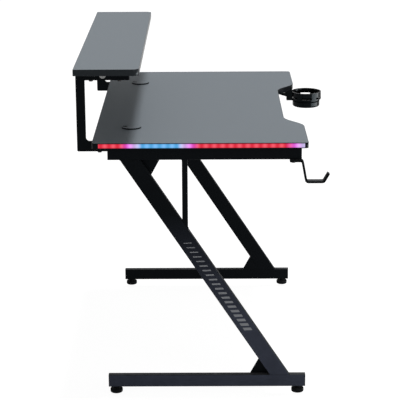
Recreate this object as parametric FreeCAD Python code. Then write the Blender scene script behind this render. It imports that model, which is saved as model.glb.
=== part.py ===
import FreeCAD, Part
import math
import os

Vec = FreeCAD.Vector

# Sizes are in millimetres. X runs across the desk with the user's left negative,
# Y runs from the user to the back, Z runs up from the floor.

# Desktop board
desk_width = 1000.0
desk_depth = 600.0
desk_height = 750.0
board_thickness = 16.0
board_corner_radius = 10.0
edge_band_thickness = 1.0
recess_depth = 54.0
recess_mouth_width = 560.0
recess_slope_run = 75.0
recess_corner_radius = 70.0

# Cable grommets
grommet_side_inset = 187.0
grommet_back_inset = 102.0
grommet_hole_radius = 25.0
grommet_flange_radius = 28.0
grommet_flange_height = 4.0
grommet_sleeve_wall = 2.0
grommet_sleeve_tail = 2.0
grommet_fit = 0.3
cap_thickness = 2.0
cap_rim_width = 2.5
cap_skirt_wall = 1.6
cap_skirt_depth = 5.0
cap_notch_width = 12.0
cap_notch_depth = 14.0

# Light strips in the two side edges
light_height = 12.0
light_depth = 10.0
light_end_gap = 0.5
light_back_inset = 18.0
light_fit = 0.2
channel_wall = 1.0
diffuser_thickness = 2.5
strip_height = 8.0
strip_thickness = 0.8
chip_size = 5.0
chip_height = 1.6
chip_pitch = 23.25
chip_end_gap = 18.5

# Leads of the light strips
lead_radius = 1.25
lead_bend_radius = 4.0
lead_hole_radius = 2.5
link_edge_gap = 5.0
link_groove_height = 4.0
link_tail = 6.0

# Light controller under the left front of the board
controller_width = 44.0
controller_length = 70.0
controller_height = 20.0
controller_wall = 1.6
controller_lid_thickness = 2.0
controller_beam_gap = 4.0
controller_front_setback = 38.0
circuit_thickness = 1.6
circuit_post_radius = 2.5
circuit_post_height = 4.0
circuit_fit = 0.5
circuit_front_gap = 10.0
button_radius = 6.0
button_flange_radius = 7.5
button_flange_thickness = 1.5
button_stand = 2.5
button_fit = 0.3
socket_width = 10.0
socket_height = 5.0
socket_length = 8.0
socket_wall = 0.4
socket_tongue_width = 6.5
socket_tongue_thickness = 0.8
socket_fit = 0.2

# Legs of rectangular steel tube
leg_side_inset = 17.0
leg_tube_width = 20.0
leg_tube_height = 36.0
leg_tube_wall = 1.5
leg_tube_edge_radius = 2.0
beam_front_setback = 18.0
beam_back_setback = 42.0
foot_front_reach = 1.0
foot_back_setback = 31.0
diagonal_width = 47.0
diagonal_foot_setback = 75.0
diagonal_head_setback = 62.0
strut_width = 16.0
strut_setback = 214.5
gusset_side = 56.0
gusset_thickness = 3.0
end_cap_thickness = 2.0
end_cap_plug = 12.0
end_cap_fit = 0.2

# Levelling feet
leveller_setback = 22.0
leveller_pad_radius = 18.0
leveller_pad_height = 12.0
leveller_pad_lower_rounding = 3.0
leveller_pad_upper_rounding = 3.0
leveller_collar_radius = 8.0
leveller_collar_height = 6.0
leveller_stud_radius = 4.0
leveller_stud_seat = 8.0
leveller_stud_rise = 24.0
leveller_nut_radius = 8.0
leveller_nut_height = 8.0
leveller_fit = 0.3

# Crossbeams between the legs
crossbeam_width = 20.0
crossbeam_height = 30.0
crossbeam_wall = 1.5
crossbeam_front_setback = 132.0
crossbeam_back_setback = 138.0
end_plate_thickness = 3.0
end_plate_length = 64.0
end_plate_bolt_spacing = 44.0

# Bolts, insert nuts in the boards, rivet nuts in the tubes
bolt_radius = 3.0
bolt_head_radius = 6.0
bolt_head_height = 3.5
bolt_key_width = 4.0
bolt_key_depth = 2.0
bolt_fit = 0.3
insert_nut_radius = 4.6
insert_nut_length = 12.0
insert_nut_room = 1.5
rivet_nut_radius = 4.5
rivet_nut_length = 8.0
nut_bore_fit = 0.15
nut_hole_fit = 0.2
key_access_radius = 7.0
desktop_bolt_first = 85.0
desktop_bolt_spacing = 140.0
desktop_bolt_count = 3

# Small screws
screw_radius = 1.6
screw_head_radius = 3.4
screw_head_height = 2.0
screw_key_width = 2.5
screw_key_depth = 1.2
screw_fit = 0.1
screw_bite = 11.0
lid_screw_spacing = 44.0

# Monitor shelf on two C-shaped brackets
shelf_side_setback = 5.0
shelf_depth = 181.0
shelf_rise = 188.0
shelf_thickness = 18.0
shelf_corner_radius = 18.0
bracket_side_inset = 80.0
bracket_width = 13.0
bracket_post_depth = 25.0
bracket_arm_height = 28.0
bracket_wall = 1.5
bracket_post_gap = 22.0
bracket_arm_length = 151.0
bracket_lower_radius = 10.0
bracket_upper_radius = 3.0
bracket_outer_radius = 4.0
bracket_bolt_setback = 16.0
bracket_bolt_spacing = 70.0
shelf_bolt_setback = 43.0
shelf_bolt_spacing = 80.0
side_bolt_setback = 76.0
side_bolt_flange_radius = 9.0
side_bolt_flange_thickness = 1.2

# Headphone hook under the left beam
hook_thickness = 6.5
hook_width = 22.0
hook_side_reach = 7.0
hook_tab_length = 35.0
hook_tab_reach = 2.0
hook_drop = 64.0
hook_lean = 11.5
hook_reach = 48.5
hook_lip_lean = 13.5
hook_lip_rise = 24.0
hook_bend_radius = 4.0
hook_bolt_setback = 23.0
hook_bolt_offset = 3.0

# Cup holder at the right end of the recess
cup_mouth_offset = 10.0
cup_reach = 43.0
cup_ring_radius = 48.5
cup_foot_radius = 44.0
cup_wall = 3.0
cup_floor = 3.0
cup_height = 48.5
cup_foot_height = 24.0
cup_drop = 7.5
cup_foot_rounding = 5.0
cup_window_drop = 15.0
cup_window_height = 6.0
cup_window_count = 6
cup_post_width = 16.0
cup_tab_width = 50.0
cup_tab_length = 70.0
cup_tab_setback = 3.0
cup_neck_width = 30.0
cup_neck_height = 28.0
cup_neck_setback = 21.5
cup_rib_width = 24.0
cup_rib_height = 16.0
cup_screw_spacing = 32.0
cup_screw_gap = 4.0

# Levels and lines that follow from the sizes above
board_under = desk_height - board_thickness
board_middle = desk_height - board_thickness / 2
desk_front = -desk_depth / 2
desk_back = desk_depth / 2
desk_side = desk_width / 2
recess_mouth = recess_mouth_width / 2
recess_floor = recess_mouth - recess_slope_run

light_front = desk_front + board_corner_radius + light_end_gap
light_back = desk_back - light_back_inset
strip_front_end = light_front + light_fit
strip_back_end = light_back - light_fit
groove_bottom = desk_side - light_depth
strip_back = groove_bottom + channel_wall
chip_back = strip_back + strip_thickness
diffuser_back = desk_side - diffuser_thickness

leg_outer = desk_side - leg_side_inset
leg_inner = leg_outer - leg_tube_width
leg_middle = leg_outer - leg_tube_width / 2
beam_under = board_under - leg_tube_height
beam_front = desk_front + beam_front_setback
beam_back = desk_back - beam_back_setback
foot_under = leveller_pad_height + leveller_collar_height
foot_top = foot_under + leg_tube_height
foot_front = desk_front - foot_front_reach
foot_back = desk_back - foot_back_setback
diagonal_foot = foot_front + diagonal_foot_setback
diagonal_head = beam_back - diagonal_head_setback
diagonal_angle = math.atan2(beam_under - foot_top, diagonal_head - diagonal_foot)
diagonal_half_slice = diagonal_width / 2 / math.sin(diagonal_angle)
strut_middle = beam_back - strut_setback
crossbeam_front = beam_front + crossbeam_front_setback
crossbeam_back = beam_back - crossbeam_back_setback
crossbeam_middle_height = board_under - crossbeam_height / 2
plate_inner = leg_inner - end_plate_thickness

shelf_under = desk_height + shelf_rise
shelf_back = desk_back + bracket_post_gap + bracket_post_depth
shelf_front = shelf_back - shelf_depth
shelf_side = desk_side - shelf_side_setback
bracket_outer = shelf_side - bracket_side_inset
bracket_inner = bracket_outer - bracket_width
bracket_middle = bracket_outer - bracket_width / 2
bracket_front = shelf_back - bracket_arm_length
bracket_low = board_under - bracket_arm_height
bracket_high = shelf_under - bracket_arm_height

cup_x = recess_mouth + cup_mouth_offset
cup_y = desk_front - cup_reach
cup_top = board_under - cup_drop
cup_under = cup_top - cup_height
cup_step = cup_under + cup_foot_height
cup_tab_front = desk_front + cup_tab_setback
cup_tab_back = cup_tab_front + cup_tab_length
cup_neck_back = desk_front + cup_neck_setback

controller_outer = -(leg_inner - controller_beam_gap)
controller_inner = controller_outer + controller_width
controller_middle_x = controller_outer + controller_width / 2
controller_front = desk_front + controller_front_setback
controller_back = controller_front + controller_length
controller_middle_y = controller_front + controller_length / 2
lid_under = board_under - controller_lid_thickness
case_under = board_under - controller_height
case_floor = case_under + controller_wall
circuit_under = case_floor + circuit_post_height
circuit_top = circuit_under + circuit_thickness
circuit_front = controller_front + controller_wall + circuit_front_gap
circuit_back = controller_back - controller_wall - circuit_fit
button_level = (case_floor + lid_under) / 2

# The finished part stands on the floor, centred under its own box.
frame_shift = -(cup_y - cup_ring_radius + shelf_back) / 2

sides = {"left": -1, "right": 1}


# Plain shapes

def box(x_from, x_to, y_from, y_to, z_from, z_to):
    low = Vec(min(x_from, x_to), min(y_from, y_to), min(z_from, z_to))
    return Part.makeBox(abs(x_to - x_from), abs(y_to - y_from), abs(z_to - z_from), low)


def rod(radius, start, end):
    along = end - start
    return Part.makeCylinder(radius, along.Length, start, along)


def sleeve(outer_radius, inner_radius, start, end):
    return rod(outer_radius, start, end).cut(rod(inner_radius, start, end))


def hex_prism(centre, along, flats, length):
    aside = Vec(1, 0, 0) if abs(along.x) < 0.5 else Vec(0, 0, 1)
    across = along.cross(aside)
    points = []
    for corner in range(7):
        turn = math.radians(60 * corner)
        offset = aside * math.cos(turn) + across * math.sin(turn)
        points.append(centre + offset * (flats / math.sqrt(3)))
    return Part.Face(Part.makePolygon(points)).extrude(along * length)


# A closed outline of straight runs, with an arc at each corner that has a radius.
def rounded_outline(corners, radii):
    edges = []
    starts = []
    ends = []
    for index, corner in enumerate(corners):
        behind = (corners[index - 1] - corner).normalize()
        ahead = (corners[(index + 1) % len(corners)] - corner).normalize()
        half = behind.getAngle(ahead) / 2
        reach = radii[index] / math.tan(half)
        starts.append(corner + behind * reach)
        ends.append(corner + ahead * reach)
        if radii[index] > 0:
            middle = corner + (behind + ahead).normalize() * (radii[index] / math.sin(half) - radii[index])
            edges.append(Part.Arc(starts[-1], middle, ends[-1]).toShape())
        else:
            edges.append(None)
    loop = []
    for index in range(len(corners)):
        if starts[index].distanceToPoint(ends[index - 1]) > 1e-6:
            loop.append(Part.makeLine(ends[index - 1], starts[index]))
        if edges[index]:
            loop.append(edges[index])
    return Part.Wire(loop)


# A plate on an outline that runs anticlockwise about the normal, drawn in by the inset all round.
def plate(corners, radii, normal, thickness, inset=0.0):
    moved = []
    fitted = []
    for index, corner in enumerate(corners):
        arriving = (corner - corners[index - 1]).normalize()
        leaving = (corners[(index + 1) % len(corners)] - corner).normalize()
        left_in = normal.cross(arriving)
        left_out = normal.cross(leaving)
        moved.append(corner + (left_in + left_out) * (inset / (1 + left_in.dot(left_out))))
        bulges = arriving.cross(leaving).dot(normal) > 0
        fitted.append(max(radii[index] - inset, 0) if bulges else radii[index] + inset)
    return Part.Face(rounded_outline(moved, fitted)).extrude(normal * thickness)


# A straight rectangular tube with rounded edges, open at both ends.
def tube(start, along, length, aside, width, height, wall, edge_radius):
    over = along.cross(aside)
    a = aside * (width / 2)
    b = over * (height / 2)
    corners = [start - a - b, start + a - b, start + a + b, start - a + b]
    radii = [edge_radius] * 4
    return plate(corners, radii, along, length).cut(plate(corners, radii, along, length, wall))


def pipe(edges, radius, start, along):
    ring = Part.Wire(Part.makeCircle(radius, start, along))
    return Part.Wire(edges).makePipeShell([ring], True, False)


def turned_cap(centre, radius, height, lower_rounding):
    disc = Part.makeCylinder(radius, height, centre)
    lower = [edge for edge in disc.Edges if edge.BoundBox.ZMax < centre.z + lower_rounding / 2]
    return disc.makeFillet(lower_rounding, lower)


# Fasteners

def headed(seat, along, length, radius, head_radius, head_height, key_width, key_depth):
    head_end = seat - along * head_height
    head = rod(head_radius, head_end, seat).cut(hex_prism(head_end, along, key_width, key_depth))
    return head.fuse(rod(radius, seat, seat + along * length)).removeSplitter()


def bolt(seat, along, length):
    return headed(seat, along, length, bolt_radius, bolt_head_radius, bolt_head_height,
                  bolt_key_width, bolt_key_depth)


def small_screw(seat, length):
    return headed(seat, Vec(0, 0, 1), length, screw_radius, screw_head_radius, screw_head_height,
                  screw_key_width, screw_key_depth)


def bolt_hole(start, end):
    return rod(bolt_radius + bolt_fit, start, end)


def insert_nut(x, y, level):
    start = Vec(x, y, level)
    return sleeve(insert_nut_radius, bolt_radius + nut_bore_fit, start, start + Vec(0, 0, insert_nut_length))


def insert_nut_hole(x, y, level):
    depth = insert_nut_length + insert_nut_room
    return Part.makeCylinder(insert_nut_radius + nut_hole_fit, depth, Vec(x, y, level))


def rivet_nut(start, along):
    return sleeve(rivet_nut_radius, bolt_radius + nut_bore_fit, start, start + along * rivet_nut_length)


def rivet_nut_hole(start, along):
    return rod(rivet_nut_radius + nut_hole_fit, start, start + along * (2 * leg_tube_wall))


# Places of the fasteners

def desktop_bolt_places():
    first = beam_front + desktop_bolt_first
    rows = [first + row * desktop_bolt_spacing for row in range(desktop_bolt_count)]
    return [(side * leg_middle, y) for side in sides.values() for y in rows]


def bracket_bolt_places():
    first = desk_back - bracket_bolt_setback
    return [(side * bracket_middle, first - row * bracket_bolt_spacing)
            for side in sides.values() for row in range(2)]


def shelf_bolt_places():
    first = shelf_back - shelf_bolt_setback
    return [(side * bracket_middle, first - row * shelf_bolt_spacing)
            for side in sides.values() for row in range(2)]


def crossbeam_bolt_places():
    return [(side, row + half * end_plate_bolt_spacing / 2)
            for side in sides.values() for row in (crossbeam_front, crossbeam_back) for half in (-1, 1)]


def cup_screw_places():
    row = cup_neck_back + cup_screw_gap + screw_head_radius
    return [(cup_x + half * cup_screw_spacing / 2, row) for half in (-1, 1)]


def lid_screw_places():
    return [(controller_middle_x, controller_middle_y + half * lid_screw_spacing / 2) for half in (-1, 1)]


def side_bolt_seats():
    y = shelf_back - side_bolt_setback
    level = bracket_high + bracket_arm_height / 2
    return [(side, Vec(side * bracket_outer, y, level)) for side in sides.values()]


def hook_bolt_seat():
    return Vec(-leg_middle - hook_bolt_offset, beam_front + hook_bolt_setback, beam_under)


# Desktop

def desktop_slab(inset):
    corners = [Vec(-desk_side, desk_front, board_under), Vec(-recess_mouth, desk_front, board_under),
               Vec(-recess_floor, desk_front + recess_depth, board_under),
               Vec(recess_floor, desk_front + recess_depth, board_under),
               Vec(recess_mouth, desk_front, board_under), Vec(desk_side, desk_front, board_under),
               Vec(desk_side, desk_back, board_under), Vec(-desk_side, desk_back, board_under)]
    bend = recess_corner_radius
    turn = board_corner_radius
    radii = [turn, bend, bend, bend, bend, turn, turn, turn]
    return plate(corners, radii, Vec(0, 0, 1), board_thickness, inset)


def light_groove(side):
    half = light_height / 2
    return box(side * groove_bottom, side * desk_side, light_front, light_back,
               board_middle - half, board_middle + half)


# The groove for the link lead runs behind the edge band, from one side groove round to the other.
def link_groove():
    low = board_middle - link_groove_height / 2
    high = board_middle + link_groove_height / 2
    turn_x = desk_side - board_corner_radius
    turn_y = desk_back - board_corner_radius
    outer = board_corner_radius - edge_band_thickness
    inner = board_corner_radius - link_edge_gap - link_groove_height / 2
    groove = [box(-turn_x, turn_x, turn_y + inner, turn_y + outer, low, high)]
    for side in sides.values():
        centre = Vec(side * turn_x, turn_y, low)
        ring = sleeve(outer, inner, centre, centre + Vec(0, 0, link_groove_height))
        corner = box(side * turn_x, side * desk_side, turn_y, desk_back, low, high)
        groove.append(ring.common(corner))
        groove.append(box(side * (turn_x + inner), side * (turn_x + outer), light_back, turn_y, low, high))
    return groove


def desktop_board():
    board = desktop_slab(edge_band_thickness)
    cuts = [light_groove(side) for side in sides.values()] + link_groove()
    for side in sides.values():
        centre = Vec(side * (desk_side - grommet_side_inset), desk_back - grommet_back_inset, board_under)
        cuts.append(Part.makeCylinder(grommet_hole_radius, board_thickness, centre))
    for x, y in desktop_bolt_places() + bracket_bolt_places():
        cuts.append(insert_nut_hole(x, y, board_under))
    for x, y in cup_screw_places() + lid_screw_places():
        cuts.append(Part.makeCylinder(screw_radius + screw_fit, screw_bite, Vec(x, y, board_under)))
    feed_turn = Vec(controller_middle_x, controller_middle_y, board_middle)
    cuts.append(rod(lead_hole_radius, Vec(feed_turn.x, feed_turn.y, board_under), feed_turn))
    cuts.append(rod(lead_hole_radius, Vec(-groove_bottom, feed_turn.y, board_middle), feed_turn))
    return board.cut(cuts)


def desktop_edge_band():
    band = desktop_slab(0).cut(desktop_slab(edge_band_thickness))
    return band.cut([light_groove(side) for side in sides.values()])


# Grommets

def grommet_centre(side, level):
    return Vec(side * (desk_side - grommet_side_inset), desk_back - grommet_back_inset, level)


def grommet_ring(side):
    sleeve_radius = grommet_hole_radius - grommet_fit
    sleeve_foot = grommet_centre(side, board_under - grommet_sleeve_tail)
    top = grommet_centre(side, desk_height + grommet_flange_height)
    ring = rod(grommet_flange_radius, grommet_centre(side, desk_height), top)
    ring = ring.fuse(rod(sleeve_radius, sleeve_foot, top)).removeSplitter()
    bore = rod(sleeve_radius - grommet_sleeve_wall, sleeve_foot, top)
    seat = rod(grommet_flange_radius - cap_rim_width, top - Vec(0, 0, cap_thickness), top)
    return ring.cut([bore, seat])


def grommet_cap(side):
    radius = grommet_flange_radius - cap_rim_width - grommet_fit
    skirt_radius = grommet_hole_radius - 2 * grommet_fit - grommet_sleeve_wall
    top = grommet_centre(side, desk_height + grommet_flange_height)
    under = top - Vec(0, 0, cap_thickness)
    skirt_foot = under - Vec(0, 0, cap_skirt_depth)
    skirt = sleeve(skirt_radius, skirt_radius - cap_skirt_wall, skirt_foot, top)
    cap = rod(radius, under, top).fuse(skirt).removeSplitter()
    half = cap_notch_width / 2
    notch_end = top.y + radius - cap_notch_depth + half
    notch = box(top.x - half, top.x + half, notch_end, top.y + grommet_flange_radius, skirt_foot.z, top.z)
    notch_round = rod(half, Vec(top.x, notch_end, skirt_foot.z), Vec(top.x, notch_end, top.z))
    return cap.cut([notch, notch_round])


# Light strips

def light_channel(side):
    half = light_height / 2 - light_fit
    inside = half - channel_wall
    channel = box(side * groove_bottom, side * diffuser_back, strip_front_end, strip_back_end,
                  board_middle - half, board_middle + half)
    hollow = box(side * strip_back, side * diffuser_back, strip_front_end, strip_back_end,
                 board_middle - inside, board_middle + inside)
    hole_start = Vec(side * groove_bottom, controller_middle_y, board_middle)
    feed_hole = rod(lead_hole_radius, hole_start, hole_start + Vec(side * channel_wall, 0, 0))
    return channel.cut([hollow, feed_hole] if side < 0 else [hollow])


def light_strip(side):
    half = strip_height / 2
    return box(side * strip_back, side * chip_back, strip_front_end, strip_back_end,
               board_middle - half, board_middle + half)


def light_chips(side):
    half = chip_size / 2
    last = strip_back_end - chip_end_gap
    room = last - half - strip_front_end
    count = int(room // chip_pitch) + 1
    chips = []
    for number in range(count):
        y = last - number * chip_pitch
        chips.append(box(side * chip_back, side * (chip_back + chip_height), y - half, y + half,
                         board_middle - half, board_middle + half))
    return chips


def light_diffuser(side):
    half = light_height / 2 - light_fit
    return box(side * diffuser_back, side * desk_side, strip_front_end, strip_back_end,
               board_middle - half, board_middle + half)


# Leads

def feed_lead():
    x = controller_middle_x
    y = controller_middle_y
    bend = lead_bend_radius
    slant = bend * (1 - math.sqrt(0.5))
    foot = Vec(x, y, circuit_top)
    arc_start = Vec(x, y, board_middle - bend)
    arc_end = Vec(x - bend, y, board_middle)
    arc_middle = Vec(x - slant, y, board_middle - slant)
    edges = [Part.makeLine(foot, arc_start), Part.Arc(arc_start, arc_middle, arc_end).toShape(),
             Part.makeLine(arc_end, Vec(-strip_back, y, board_middle))]
    return pipe(edges, lead_radius, foot, Vec(0, 0, 1))


def link_lead():
    turn_x = desk_side - board_corner_radius
    turn_y = desk_back - board_corner_radius
    radius = board_corner_radius - link_edge_gap
    slant = radius * math.sqrt(0.5)
    z = board_middle
    tail_y = light_back - link_tail
    left = [Vec(-turn_x - radius, tail_y, z), Vec(-turn_x - radius, turn_y, z),
            Vec(-turn_x - slant, turn_y + slant, z), Vec(-turn_x, turn_y + radius, z)]
    right = [Vec(-point.x, point.y, point.z) for point in reversed(left)]
    edges = [Part.makeLine(left[0], left[1]), Part.Arc(left[1], left[2], left[3]).toShape(),
             Part.makeLine(left[3], right[0]), Part.Arc(right[0], right[1], right[2]).toShape(),
             Part.makeLine(right[2], right[3])]
    return pipe(edges, lead_radius, left[0], Vec(0, 1, 0))


# Light controller

def controller_lid():
    lid = box(controller_outer, controller_inner, controller_front, controller_back, lid_under, board_under)
    holes = [rod(screw_radius + screw_fit, Vec(x, y, lid_under), Vec(x, y, board_under))
             for x, y in lid_screw_places()]
    holes.append(rod(lead_hole_radius, Vec(controller_middle_x, controller_middle_y, lid_under),
                     Vec(controller_middle_x, controller_middle_y, board_under)))
    return lid.cut(holes)


def controller_case():
    wall = controller_wall
    case = box(controller_outer, controller_inner, controller_front, controller_back, case_under, lid_under)
    hollow = box(controller_outer + wall, controller_inner - wall, controller_front + wall,
                 controller_back - wall, case_floor, lid_under)
    posts = []
    post_inset = wall + 2 * circuit_post_radius
    for x in (controller_outer + post_inset, controller_inner - post_inset):
        for y in (circuit_front + circuit_post_radius, circuit_back - circuit_post_radius):
            posts.append(rod(circuit_post_radius, Vec(x, y, case_floor), Vec(x, y, circuit_under)))
    button_hole = rod(button_radius + button_fit, Vec(controller_middle_x, controller_front, button_level),
                      Vec(controller_middle_x, controller_front + wall, button_level))
    half = socket_width / 2 + socket_fit
    socket_hole = box(controller_middle_x - half, controller_middle_x + half, controller_back - wall,
                      controller_back, circuit_top - socket_fit, circuit_top + socket_height + socket_fit)
    return case.cut([hollow, button_hole, socket_hole]).fuse(posts).removeSplitter()


def controller_circuit():
    inset = controller_wall + circuit_fit
    return box(controller_outer + inset, controller_inner - inset, circuit_front, circuit_back,
               circuit_under, circuit_top)


def controller_button():
    wall_inside = controller_front + controller_wall
    face = Vec(controller_middle_x, controller_front - button_stand, button_level)
    seat = Vec(controller_middle_x, wall_inside, button_level)
    flange = rod(button_flange_radius, seat, seat + Vec(0, button_flange_thickness, 0))
    return rod(button_radius, face, seat).fuse(flange).removeSplitter()


def power_socket():
    half = socket_width / 2
    x = controller_middle_x
    start = controller_back - socket_length
    wall = socket_wall
    shell = box(x - half, x + half, start, controller_back, circuit_top, circuit_top + socket_height)
    mouth = box(x - half + wall, x + half - wall, start + wall, controller_back,
                circuit_top + wall, circuit_top + socket_height - wall)
    middle = circuit_top + socket_height / 2
    tongue = box(x - socket_tongue_width / 2, x + socket_tongue_width / 2, start, controller_back - wall,
                 middle - socket_tongue_thickness / 2, middle + socket_tongue_thickness / 2)
    return shell.cut(mouth).fuse(tongue).removeSplitter()


# Legs

def bar(side, y_from, y_to, z_middle):
    start = Vec(side * leg_middle, y_from + end_cap_thickness, z_middle)
    length = y_to - y_from - 2 * end_cap_thickness
    return tube(start, Vec(0, 1, 0), length, Vec(1, 0, 0), leg_tube_width, leg_tube_height,
                leg_tube_wall, leg_tube_edge_radius)


def leg_beam(side):
    beam = bar(side, beam_front, beam_back, beam_under + leg_tube_height / 2)
    cuts = []
    for x, y in desktop_bolt_places():
        cuts.append(bolt_hole(Vec(x, y, beam_under), Vec(x, y, board_under)))
        cuts.append(rod(key_access_radius, Vec(x, y, beam_under), Vec(x, y, beam_under + leg_tube_wall)))
    for bolt_side, y in crossbeam_bolt_places():
        start = Vec(bolt_side * leg_inner, y, crossbeam_middle_height)
        cuts.append(rivet_nut_hole(start, Vec(bolt_side, 0, 0)))
    cuts.append(rivet_nut_hole(hook_bolt_seat(), Vec(0, 0, 1)))
    return beam.cut(cuts)


def leg_foot_bar(side):
    foot = bar(side, foot_front, foot_back, foot_under + leg_tube_height / 2)
    holes = []
    for y in (foot_front + leveller_setback, foot_back - leveller_setback):
        low = Vec(side * leg_middle, y, foot_under)
        holes.append(rod(leveller_stud_radius + leveller_fit, low, low + Vec(0, 0, leg_tube_wall)))
    return foot.cut(holes)


def leg_diagonal(side):
    along = Vec(0, math.cos(diagonal_angle), math.sin(diagonal_angle))
    foot = Vec(side * leg_middle, diagonal_foot, foot_top)
    head = Vec(side * leg_middle, diagonal_head, beam_under)
    overrun = along * diagonal_width
    length = (head - foot).Length + 2 * overrun.Length
    post = tube(foot - overrun, along, length, Vec(1, 0, 0), leg_tube_width, diagonal_width,
                leg_tube_wall, leg_tube_edge_radius)
    between = box(side * leg_inner, side * leg_outer, foot_front, beam_back, foot_top, beam_under)
    return post.common(between)


# The strut stands on the sloping front face of the diagonal and carries the middle of the beam.
def leg_strut(side):
    start = Vec(side * leg_middle, strut_middle, foot_top)
    post = tube(start, Vec(0, 0, 1), beam_under - foot_top, Vec(1, 0, 0), strut_width, strut_width,
                leg_tube_wall, leg_tube_edge_radius)
    x = side * leg_middle - leg_tube_width / 2
    corners = [Vec(x, diagonal_foot - diagonal_half_slice, foot_top), Vec(x, beam_back, foot_top),
               Vec(x, diagonal_head - diagonal_half_slice, beam_under)]
    below = plate(corners, [0, 0, 0], Vec(1, 0, 0), leg_tube_width)
    return post.cut(below)


def leg_gussets(side):
    slope = Vec(0, math.cos(diagonal_angle), math.sin(diagonal_angle)) * gusset_side
    level = Vec(0, gusset_side, 0)
    x = min(side * leg_inner, side * (leg_inner + gusset_thickness))
    low = Vec(x, diagonal_foot + diagonal_half_slice, foot_top)
    high = Vec(x, diagonal_head - diagonal_half_slice, beam_under)
    triangles = [[low, low + level, low + slope], [high, high - level, high - slope]]
    return [plate(corners, [0, 0, 0], Vec(1, 0, 0), gusset_thickness) for corners in triangles]


# A plug for the end of a tube that lies along Y, with its outer face at y and facing the given way.
def end_cap(x, y, facing, z, width, height, wall, edge_radius):
    outer = Vec(x, y, z)
    a = Vec(width / 2, 0, 0)
    b = Vec(0, 0, height / 2)
    corners = [outer - a - b, outer - a + b, outer + a + b, outer + a - b]
    inward = Vec(0, -facing, 0)
    corners = corners if facing < 0 else list(reversed(corners))
    radii = [edge_radius] * 4
    face = plate(corners, radii, inward, end_cap_thickness)
    plug = plate(corners, radii, inward, end_cap_thickness + end_cap_plug, wall + end_cap_fit)
    return face.fuse(plug).removeSplitter()


def leg_end_caps():
    caps = []
    spans = ((beam_front, beam_back, beam_under), (foot_front, foot_back, foot_under))
    for side in sides.values():
        for y_from, y_to, z_under in spans:
            z = z_under + leg_tube_height / 2
            for y, facing in ((y_from, -1), (y_to, 1)):
                caps.append(end_cap(side * leg_middle, y, facing, z, leg_tube_width, leg_tube_height,
                                    leg_tube_wall, leg_tube_edge_radius))
    return caps


# Levelling feet

def leveller_place(side, end):
    y = foot_front + leveller_setback if end == "front" else foot_back - leveller_setback
    return Vec(side * leg_middle, y, 0)


def leveller_pad(place):
    pad = turned_cap(place, leveller_pad_radius, leveller_pad_height, leveller_pad_lower_rounding)
    domed_from = leveller_pad_height - leveller_pad_upper_rounding / 2
    upper = [edge for edge in pad.Edges if edge.BoundBox.ZMin > place.z + domed_from]
    pad = pad.makeFillet(leveller_pad_upper_rounding, upper)
    collar_top = place + Vec(0, 0, foot_under)
    pad = pad.fuse(rod(leveller_collar_radius, place + Vec(0, 0, leveller_pad_height), collar_top))
    stud_hole = rod(leveller_stud_radius, place + Vec(0, 0, foot_under - leveller_stud_seat), collar_top)
    return pad.removeSplitter().cut(stud_hole)


def leveller_stud(place):
    return rod(leveller_stud_radius, place + Vec(0, 0, foot_under - leveller_stud_seat),
               place + Vec(0, 0, foot_under + leveller_stud_rise))


def leveller_nut(place):
    seat = place + Vec(0, 0, foot_under + leg_tube_wall)
    return sleeve(leveller_nut_radius, leveller_stud_radius + leveller_fit, seat,
                  seat + Vec(0, 0, leveller_nut_height))


def leveller_nuts():
    return [leveller_nut(leveller_place(side, end)) for side in sides.values() for end in ("front", "back")]


# Crossbeams

def crossbeam(y):
    start = Vec(-plate_inner, y, crossbeam_middle_height)
    return tube(start, Vec(1, 0, 0), 2 * plate_inner, Vec(0, 1, 0), crossbeam_width, crossbeam_height,
                crossbeam_wall, leg_tube_edge_radius)


def crossbeam_plates():
    plates = []
    half = end_plate_length / 2
    for side in sides.values():
        for y in (crossbeam_front, crossbeam_back):
            blank = box(side * plate_inner, side * leg_inner, y - half, y + half,
                        board_under - crossbeam_height, board_under)
            holes = []
            for end in (-1, 1):
                start = Vec(side * plate_inner, y + end * end_plate_bolt_spacing / 2, crossbeam_middle_height)
                holes.append(bolt_hole(start, start + Vec(side * end_plate_thickness, 0, 0)))
            plates.append(blank.cut(holes))
    return plates


def crossbeam_bolts():
    length = end_plate_thickness + rivet_nut_length
    return [bolt(Vec(side * plate_inner, y, crossbeam_middle_height), Vec(side, 0, 0), length)
            for side, y in crossbeam_bolt_places()]


def rivet_nuts():
    nuts = [rivet_nut(Vec(side * leg_inner, y, crossbeam_middle_height), Vec(side, 0, 0))
            for side, y in crossbeam_bolt_places()]
    nuts += [rivet_nut(seat, Vec(-side, 0, 0)) for side, seat in side_bolt_seats()]
    return nuts + [rivet_nut(hook_bolt_seat(), Vec(0, 0, 1))]


# Bolts that hold the boards

def desktop_bolts():
    seat = board_under - leg_tube_wall
    length = leg_tube_wall + insert_nut_length
    return [bolt(Vec(x, y, seat), Vec(0, 0, 1), length) for x, y in desktop_bolt_places()]


def bracket_bolts():
    length = bracket_arm_height + insert_nut_length
    return [bolt(Vec(x, y, bracket_low), Vec(0, 0, 1), length) for x, y in bracket_bolt_places()]


def shelf_bolts():
    length = bracket_arm_height + insert_nut_length
    return [bolt(Vec(x, y, bracket_high), Vec(0, 0, 1), length) for x, y in shelf_bolt_places()]


def insert_nuts():
    nuts = [insert_nut(x, y, board_under) for x, y in desktop_bolt_places() + bracket_bolt_places()]
    return nuts + [insert_nut(x, y, shelf_under) for x, y in shelf_bolt_places()]


# Monitor shelf

def shelf_slab(inset):
    corners = [Vec(-shelf_side, shelf_front, shelf_under), Vec(shelf_side, shelf_front, shelf_under),
               Vec(shelf_side, shelf_back, shelf_under), Vec(-shelf_side, shelf_back, shelf_under)]
    radii = [shelf_corner_radius, shelf_corner_radius, 0, 0]
    return plate(corners, radii, Vec(0, 0, 1), shelf_thickness, inset)


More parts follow.
